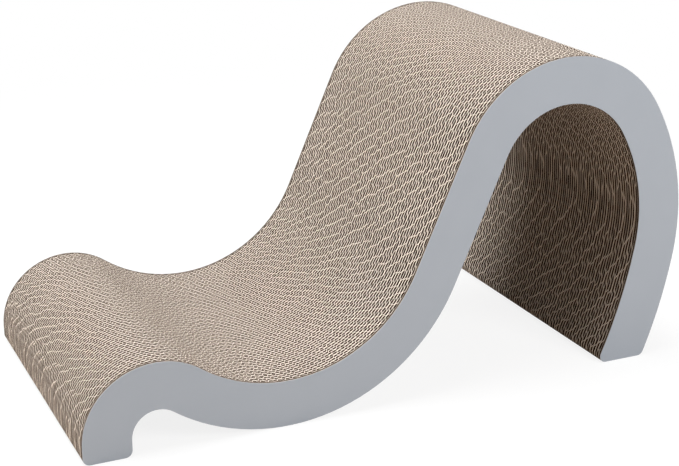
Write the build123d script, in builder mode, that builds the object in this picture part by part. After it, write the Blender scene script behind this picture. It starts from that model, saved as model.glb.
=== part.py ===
"""Cat scratching lounger: corrugated boards of one S-shaped outline, stacked across the width and glued
face to face, with a printed board on each side.

The outline runs from a short foot over a low hump, down into a dip that rests on the floor, up a steep
slope and over a tall arch to a leg that leans back under the arch. +X runs from the hump to the arch,
the front side board faces -Y, and the origin is on the floor, midway along the length and the width.
"""

import os
from math import acos, cos, degrees, radians, sin

from build123d import *

os.makedirs("parts", exist_ok=True)

# Stack across the width, in millimetres
overall_depth = 310.0
side_board_thickness = 3.0
core_groups = 19  # of four boards each

# Outline, in millimetres and degrees
section = 45.7  # thickness of the band between its upper and its lower line
overall_height = 323.5
hump_inner_radius = 24.6
hump_centre_height = 17.0  # also the height of the foot's straight walls
belly_radius = 188.0  # lower line of the dip, which touches the floor
slope_angle = 66.4  # above the horizontal
arch_inner_radius = 73.0
shoulder_angle = 58.4  # below the horizontal, where the arch passes into the side
side_inner_radius = 176.0
side_outer_radius = 235.5
leg_angle = 99.9  # below the horizontal, where the side passes into the leg
leg_radius = 508.0
corner_radius = 7.0  # on the foot and the leg, at the floor

# Worked out: the fall of the hump that brings the belly down to the floor, and the straight run of the
# slope that brings the arch up to the overall height
hump_fall = degrees(acos((belly_radius - hump_centre_height) / (hump_inner_radius + belly_radius)))
arch_centre_height = overall_height - arch_inner_radius - section
slope_run = (
    arch_centre_height - belly_radius + (belly_radius + arch_inner_radius) * cos(radians(slope_angle))
) / sin(radians(slope_angle))
core_depth = overall_depth - 2 * side_board_thickness
group_depth = core_depth / core_groups


def turn_to_floor(leg_top):
    """Angle that the leg's arc turns through between its top and the floor."""
    centre_height = leg_top.Y - leg_radius * cos(radians(leg_angle))
    return degrees(acos(-centre_height / leg_radius)) - leg_angle


def draw_line(foot_x, offset, side_radius):
    """One line of the outline from the foot to the leg, at an offset outwards from the lower line."""
    foot = Line((foot_x, 0), (foot_x, hump_centre_height))
    hump = JernArc(foot @ 1, foot % 1, hump_inner_radius + offset, -90 - hump_fall)
    dip = JernArc(hump @ 1, hump % 1, belly_radius - offset, hump_fall + slope_angle)
    slope = Line(dip @ 1, dip @ 1 + (dip % 1) * slope_run)
    arch = JernArc(slope @ 1, slope % 1, arch_inner_radius + offset, -slope_angle - shoulder_angle)
    side = JernArc(arch @ 1, arch % 1, side_radius, shoulder_angle - leg_angle)
    leg = JernArc(side @ 1, side % 1, leg_radius, -turn_to_floor(side @ 1))
    return leg @ 1


# The outline that every board is cut to, drawn from the foot's outer wall
with BuildSketch(Plane.XZ) as outline:
    with BuildLine():
        outer_end = draw_line(0, section, side_outer_radius)
        inner_end = draw_line(section, 0, side_inner_radius)
        Line((0, 0), (section, 0))
        Line(inner_end, outer_end)
    make_face()
    fillet(outline.vertices().group_by(Axis.Y)[0], corner_radius)

middle = outline.sketch_local.bounding_box().center().X


def board_plane(front):
    """Plane of a board's front face, with the outline's length centred on the origin."""
    return Plane(origin=(-middle, front, 0), x_dir=(1, 0, 0), z_dir=(0, -1, 0))


# Printed board on each side
for name, front in (
    ("front_side_board", -overall_depth / 2),
    ("back_side_board", overall_depth / 2 - side_board_thickness),
):
    with BuildPart() as side_board:
        with BuildSketch(board_plane(front)):
            add(outline.sketch_local)
        extrude(amount=-side_board_thickness)
    side_board.part.label = name
    export_step(side_board.part, f"parts/{name}.step")

# Corrugated boards of the core. A group is four boards glued face to face into one solid.
for group in range(core_groups):
    front = group * group_depth - core_depth / 2
    with BuildPart() as core_group:
        with BuildSketch(board_plane(front)):
            add(outline.sketch_local)
        extrude(amount=-group_depth)
    name = f"core_boards_{group + 1:02d}"
    core_group.part.label = name
    export_step(core_group.part, f"parts/{name}.step")
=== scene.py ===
import math
import random

import bmesh
import bpy
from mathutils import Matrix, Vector, noise


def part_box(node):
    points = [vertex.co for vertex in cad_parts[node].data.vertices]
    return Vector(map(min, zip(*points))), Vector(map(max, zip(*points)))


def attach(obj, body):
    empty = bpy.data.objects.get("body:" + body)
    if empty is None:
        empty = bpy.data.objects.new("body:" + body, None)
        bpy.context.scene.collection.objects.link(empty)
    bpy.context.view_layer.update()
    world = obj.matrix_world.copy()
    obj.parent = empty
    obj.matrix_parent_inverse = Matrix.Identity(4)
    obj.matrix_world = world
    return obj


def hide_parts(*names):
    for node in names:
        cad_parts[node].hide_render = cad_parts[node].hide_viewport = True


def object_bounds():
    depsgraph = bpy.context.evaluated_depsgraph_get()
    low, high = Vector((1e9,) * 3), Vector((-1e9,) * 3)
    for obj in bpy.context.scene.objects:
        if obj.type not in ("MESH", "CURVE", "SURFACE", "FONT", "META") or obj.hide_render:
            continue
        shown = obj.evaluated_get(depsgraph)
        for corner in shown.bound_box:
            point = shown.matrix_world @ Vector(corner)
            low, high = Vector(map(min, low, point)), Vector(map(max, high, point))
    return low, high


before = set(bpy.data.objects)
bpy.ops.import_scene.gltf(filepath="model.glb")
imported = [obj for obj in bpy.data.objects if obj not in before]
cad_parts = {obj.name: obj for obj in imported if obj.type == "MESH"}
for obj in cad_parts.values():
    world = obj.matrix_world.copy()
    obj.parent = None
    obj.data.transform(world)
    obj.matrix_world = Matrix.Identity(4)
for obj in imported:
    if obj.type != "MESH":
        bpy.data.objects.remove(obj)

cad_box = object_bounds()

# Core boards. Each is single-wall corrugated board, die-cut to one S-shaped outline: two flat kraft liners
# with a fluted sheet glued between them, the flutes running upright. The boards are glued face to face,
# and their cut edges are the scratching surface.
board_thickness = 0.004
liner_thickness = 0.00033
flute_thickness = 0.00042
flute_pitch = 0.0079
flank_spread = 0.35  # 0 for upright flanks, 1 and over for a plain wave
flute_step = (-0.24, -0.08)  # from board to board within a group, in flutes
wander = 0.2  # of the flutes from upright, in flutes
wander_length = 0.022
wander_apart = 7.0  # keeps the flutes of two boards from wandering alike
stations_per_flute = 16
longest_edge = 0.0025
weld_distance = 1e-6
cut_tolerance = 1e-7
# The flute and liner walls are painted nearly black: painted shade that stands in for the shade deep in the
# pockets between the flutes.
shaded_wall_colours = (0.025, 0.011, 0.005), (0.075, 0.035, 0.015)
edge_colours = (0.74, 0.63, 0.528), (0.94, 0.823, 0.715)
board_streaks = (8, 260, 8)  # blobs per metre along x, y and z, as for the next two
wall_fibres = (500, 500, 90)
edge_fibres = (700, 700, 700)
streak_detail = 1.0
fibre_detail = 3.0
wall_streak_share = 0.6
edge_streak_share = 0.5
kraft_roughness = 0.9
paper_specular = 0.15
wave_height = (board_thickness - 2 * liner_thickness - flute_thickness) / 2
liner_offset = (board_thickness - liner_thickness) / 2
draw = random.Random(8)


class Shade:
    """A shader socket that takes part in Python expressions."""

    def __init__(self, tree, socket):
        self.tree = tree
        self.socket = socket

    def node(self, kind, settings, inputs, output=0):
        """A new node of any type, with its settings and the values or links of its sockets."""
        made = self.tree.nodes.new(kind)
        for name, value in settings.items():
            setattr(made, name, value)
        for key, value in inputs.items():
            if isinstance(value, Shade):
                self.tree.links.new(value.socket, made.inputs[key])
            else:
                made.inputs[key].default_value = value
        return Shade(self.tree, made.outputs[output])

    def __add__(self, other):
        return self.node("ShaderNodeMath", {"operation": "ADD"}, {0: self, 1: other})

    def __mul__(self, other):
        return self.node("ShaderNodeMath", {"operation": "MULTIPLY"}, {0: self, 1: other})

    __radd__ = __add__
    __rmul__ = __mul__

    def mottle(self, blobs_per_metre, detail):
        """Noise from 0 to 1 in this coordinate."""
        place = self.node("ShaderNodeVectorMath", {"operation": "MULTIPLY"}, {0: self, 1: blobs_per_metre})
        return self.node("ShaderNodeTexNoise", {}, {"Vector": place, "Scale": 1.0, "Detail": detail})

    def blend(self, low_colour, high_colour):
        """The colour between two, taken by this value from 0 to 1."""
        inputs = {0: self, 6: (*low_colour, 1), 7: (*high_colour, 1)}
        return self.node("ShaderNodeMix", {"data_type": "RGBA"}, inputs, output=2)

    def feed(self, shader, name):
        self.tree.links.new(self.socket, shader.inputs[name])


def paper_material(name, roughness):
    """A new matt material: itself, its Principled shader, and its Object coordinates."""
    material = bpy.data.materials.new(name)
    material.use_nodes = True
    tree = material.node_tree
    shader = tree.nodes["Principled BSDF"]
    shader.inputs["Roughness"].default_value = roughness
    shader.inputs["Specular IOR Level"].default_value = paper_specular
    return material, shader, Shade(tree, tree.nodes.new("ShaderNodeTexCoord").outputs["Object"])


# The walls: kraft painted nearly black, as painted shade of the pockets
shaded_wall_material, shader, place = paper_material("kraft_wall_painted_shade", kraft_roughness)
streaks = place.mottle(board_streaks, streak_detail) * wall_streak_share
fibres = place.mottle(wall_fibres, fibre_detail) * (1 - wall_streak_share)
(streaks + fibres).blend(*shaded_wall_colours).feed(shader, "Base Color")
edge_material, shader, place = paper_material("kraft_cut_edge", kraft_roughness)
streaks = place.mottle(board_streaks, streak_detail) * edge_streak_share
fibres = place.mottle(edge_fibres, fibre_detail) * (1 - edge_streak_share)
(streaks + fibres).blend(*edge_colours).feed(shader, "Base Color")

# The outline as one flat face in the plane y = 0, taken from the front side board's front
outline = bmesh.new()
outline.from_mesh(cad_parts["front_side_board"].data)
bmesh.ops.remove_doubles(outline, verts=outline.verts, dist=weld_distance)
other_faces = [face for face in outline.faces if face.normal.y > -0.5]
bmesh.ops.delete(outline, geom=other_faces, context="FACES")
bmesh.ops.dissolve_faces(outline, faces=outline.faces)
bmesh.ops.translate(outline, verts=outline.verts, vec=(0, -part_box("front_side_board")[0].y, 0))

# The same sheet cut into upright strips that can follow the flutes
flutes = outline.copy()
low_x, high_x = cad_box[0].x, cad_box[1].x
station_step = flute_pitch / stations_per_flute
for station in range(1, int((high_x - low_x) / station_step)):
    bmesh.ops.bisect_plane(
        flutes,
        geom=flutes.verts[:] + flutes.edges[:] + flutes.faces[:],
        dist=cut_tolerance,
        plane_co=(low_x + station * station_step, 0, 0),
        plane_no=(1, 0, 0),
    )
for edge in [edge for edge in flutes.edges if edge.is_boundary and edge.calc_length() > longest_edge]:
    bmesh.ops.subdivide_edges(flutes, edges=[edge], cuts=int(edge.calc_length() / longest_edge))


def thicken(sheet, name):
    """The mesh of a flat sheet with a front, a back and a cut edge, one unit thick for now."""
    made = bmesh.ops.extrude_face_region(sheet, geom=sheet.faces[:], use_keep_orig=True)
    back = [item for item in made["geom"] if isinstance(item, bmesh.types.BMVert)]
    bmesh.ops.translate(sheet, verts=back, vec=(0, 1, 0))
    bmesh.ops.translate(sheet, verts=sheet.verts, vec=(0, -0.5, 0))
    bmesh.ops.recalc_face_normals(sheet, faces=sheet.faces)
    for face in sheet.faces:
        is_cut_edge = abs(face.normal.y) < 0.5
        face.material_index = 1 if is_cut_edge else 0
    mesh = bpy.data.meshes.new(name)
    sheet.to_mesh(mesh)
    sheet.free()
    return mesh


flat_sheet = thicken(outline, "flat_sheet")
flute_sheet = thicken(flutes, "flute_sheet")


def add_sheet(shape, sheet, lay):
    """Adds a sheet to a bmesh. The function gives its y and its thickness at a place in the outline."""
    before = len(shape.verts)
    shape.from_mesh(sheet)
    shape.verts.ensure_lookup_table()
    for vert in shape.verts[before:]:
        y, thickness = lay(vert.co.x, vert.co.z)
        vert.co.y = y + vert.co.y * thickness


def lay_flutes(middle, start, x, z):
    """The y of a flute sheet with flat crests and steep flanks, and its thickness along y."""
    strayed = wander * noise.noise((x / wander_length, start * wander_apart, z / wander_length))
    turn = (x / flute_pitch - start + strayed) * 2 * math.pi
    spread = math.sin(turn) ** 2 + flank_spread ** 2
    wave = math.sin(turn) * math.sqrt((1 + flank_spread ** 2) / spread)
    steepness = math.cos(turn) * math.sqrt(1 + flank_spread ** 2) * flank_spread ** 2 / spread ** 1.5
    steepness *= wave_height * 2 * math.pi / flute_pitch
    return middle + wave_height * wave, flute_thickness * math.hypot(1, steepness)


def add_piece(name, shape, materials, node):
    """Turns a bmesh into a piece of the scene that stands in for a node."""
    mesh = bpy.data.meshes.new(name)
    shape.to_mesh(mesh)
    shape.free()
    for material in materials:
        mesh.materials.append(material)
    piece = bpy.data.objects.new(name, mesh)
    bpy.context.scene.collection.objects.link(piece)
    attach(piece, "root")
    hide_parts(node)


for name in sorted(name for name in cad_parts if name.startswith("core_boards")):
    low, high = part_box(name)
    boards = bmesh.new()
    flute_start = draw.random()
    for number in range(round((high.y - low.y) / board_thickness)):
        flute_start += draw.uniform(*flute_step)
        middle = low.y + (number + 0.5) * board_thickness
        for offset in (-liner_offset, liner_offset):
            add_sheet(boards, flat_sheet, lambda x, z: (middle + offset, liner_thickness))
        add_sheet(boards, flute_sheet, lambda x, z: lay_flutes(middle, flute_start, x, z))
    add_piece(f"corrugated_{name}", boards, (shaded_wall_material, edge_material), name)

# Side boards. A board printed grey on its outer face is glued to each side of the stack, cut to the same
# outline. Behind the grey, its edge shows as a thin tan line and then a nearly black one, which is painted
# shade standing in for the shadowed line along the edge.
print_thickness = 0.0003
tan_thickness = 0.0005
print_colours = (0.343, 0.379, 0.429), (0.37, 0.407, 0.459)
tan_colours = (0.42, 0.33, 0.25), (0.6, 0.49, 0.39)
# Nearly black brown: painted shade for the dark line along the board's edge, behind the tan liner
painted_shade_colours = (0.012, 0.007, 0.004), (0.05, 0.03, 0.018)
print_blotches = (30, 30, 30)  # blobs per metre, as for the next two
print_grain = (900, 900, 900)
edge_layer_fibres = (300, 300, 300)
print_detail = 2.0
print_blotch_share = 0.7
print_roughness = 0.55

print_material, shader, place = paper_material("grey_print", print_roughness)
blotches = place.mottle(print_blotches, print_detail) * print_blotch_share
grain = place.mottle(print_grain, print_detail) * (1 - print_blotch_share)
(blotches + grain).blend(*print_colours).feed(shader, "Base Color")
# The rest of the board, painted nearly black as the shade along its edge
painted_shade_material, shader, place = paper_material("side_edge_painted_shade", kraft_roughness)
place.mottle(edge_layer_fibres, fibre_detail).blend(*painted_shade_colours).feed(shader, "Base Color")
tan_material, shader, place = paper_material("tan_liner", kraft_roughness)
place.mottle(edge_layer_fibres, fibre_detail).blend(*tan_colours).feed(shader, "Base Color")
side_materials = (print_material, painted_shade_material, tan_material)

for name, outward in (("front_side_board", -1), ("back_side_board", 1)):
    low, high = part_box(name)
    shaded_layer_thickness = high.y - low.y - print_thickness - tan_thickness
    layers = (print_thickness, print_material), (tan_thickness, tan_material), (shaded_layer_thickness, painted_shade_material)
    outer = low.y if outward < 0 else high.y
    shape = bmesh.new()
    for thickness, material in layers:
        before = len(shape.faces)
        middle = outer - outward * thickness / 2
        add_sheet(shape, flat_sheet, lambda x, z: (middle, thickness))
        shape.faces.ensure_lookup_table()
        for face in shape.faces[before:]:
            face.material_index = side_materials.index(material)
        outer -= outward * thickness
    add_piece(f"printed_{name}", shape, side_materials, name)

# Studio floor and surroundings. The floor is matt and tan to the light that it throws back at the object,
# and both show white to the camera, apart from a faint shadow under the object.
floor_reach = 8
floor_bounce = (0.48, 0.405, 0.34)
floor_shown = (0.9, 0.9, 0.9)
floor_roughness = 0.9
shadow_reach = 0.4  # from the object's middle, where the shadow starts to fade
shadow_end = 1.3
white_in_shadow = 0.85  # share of plain white near the object
surroundings_light = 0.15

floor_shape = bmesh.new()
bmesh.ops.create_grid(floor_shape, x_segments=1, y_segments=1, size=floor_reach)
floor_mesh = bpy.data.meshes.new("studio_floor")
floor_shape.to_mesh(floor_mesh)
floor_shape.free()
floor = bpy.data.objects.new("studio_floor", floor_mesh)
bpy.context.scene.collection.objects.link(floor)
floor_material, shader, place = paper_material("studio_floor", floor_roughness)
floor_mesh.materials.append(floor_material)


def seen_directly(shade):
    """1 for rays that the camera sends out, also by way of a shine or a clear piece, and 0 for others."""
    rays = shade.tree.nodes.new("ShaderNodeLightPath")
    camera, glossy, through = (
        Shade(shade.tree, rays.outputs[name])
        for name in ("Is Camera Ray", "Is Glossy Ray", "Is Transmission Ray")
    )
    return camera + glossy + through


shown = seen_directly(place)
shown.blend(floor_bounce, floor_shown).feed(shader, "Base Color")
glow = place.node("ShaderNodeEmission", {}, {"Color": (1, 1, 1, 1), "Strength": 1.0})
far = place.node("ShaderNodeVectorMath", {"operation": "LENGTH"}, {0: place}, output=1)
fade = {
    "Value": far,
    "From Min": shadow_reach,
    "From Max": shadow_end,
    "To Min": white_in_shadow,
    "To Max": 1.0,
}
whiteness = place.node("ShaderNodeMapRange", {"interpolation_type": "SMOOTHSTEP"}, fade)
surfaces = {0: shown * whiteness, 1: Shade(place.tree, shader.outputs[0]), 2: glow}
mixed = place.node("ShaderNodeMixShader", {}, surfaces)
mixed.feed(place.tree.nodes["Material Output"], "Surface")

world = bpy.data.worlds.new("studio")
world.use_nodes = True
bpy.context.scene.world = world
surroundings = world.node_tree.nodes["Background"]
surroundings.inputs["Color"].default_value = (1, 1, 1, 1)
strength = seen_directly(Shade(world.node_tree, None)) * (1 - surroundings_light) + surroundings_light
strength.feed(surroundings, "Strength")


# Studio lights. One large soft light hangs overhead, a second stands at the left and a third at the
# front right. Sizes are in metres and powers in watts.
def soft_light(name, place, aim, size, power):
    lamp = bpy.data.lights.new(name, "AREA")
    lamp.size = size
    lamp.energy = power
    light = bpy.data.objects.new(name, lamp)
    light.location = place
    light.rotation_euler = (Vector(aim) - Vector(place)).to_track_quat("-Z", "Y").to_euler()
    bpy.context.scene.collection.objects.link(light)


soft_light("overhead", place=(-0.7, 0.4, 3.4), aim=(0, 0, 0.1), size=2.3, power=158)
soft_light("left", place=(-3.2, 1.4, 1.2), aim=(-0.1, 0, 0.15), size=1.6, power=63)
soft_light("front_right", place=(0.9, -2.2, 1.6), aim=(0, 0, 0.15), size=1.2, power=58)

# Camera. It looks down a little on the object from the front left, as in the photograph.
photo_width = 679  # pixels
focal_length = 1496.5  # pixels
sensor_width = 36  # millimetres
camera_place = (-0.596, -1.3201, 0.6292)
look_down = 19.217  # degrees, as are the next two
turn_right = 24.531
roll = 0.08

camera_data = bpy.data.cameras.new("camera")
camera_data.sensor_fit = "HORIZONTAL"
camera_data.sensor_width = sensor_width
camera_data.lens = sensor_width * focal_length / photo_width
camera = bpy.data.objects.new("camera", camera_data)
camera.location = camera_place
camera.rotation_euler = (math.radians(90 - look_down), 0, -math.radians(turn_right))
camera.rotation_euler.rotate_axis("Z", math.radians(roll))
bpy.context.scene.collection.objects.link(camera)
bpy.context.scene.camera = camera
bpy.context.scene.view_settings.view_transform = "Standard"
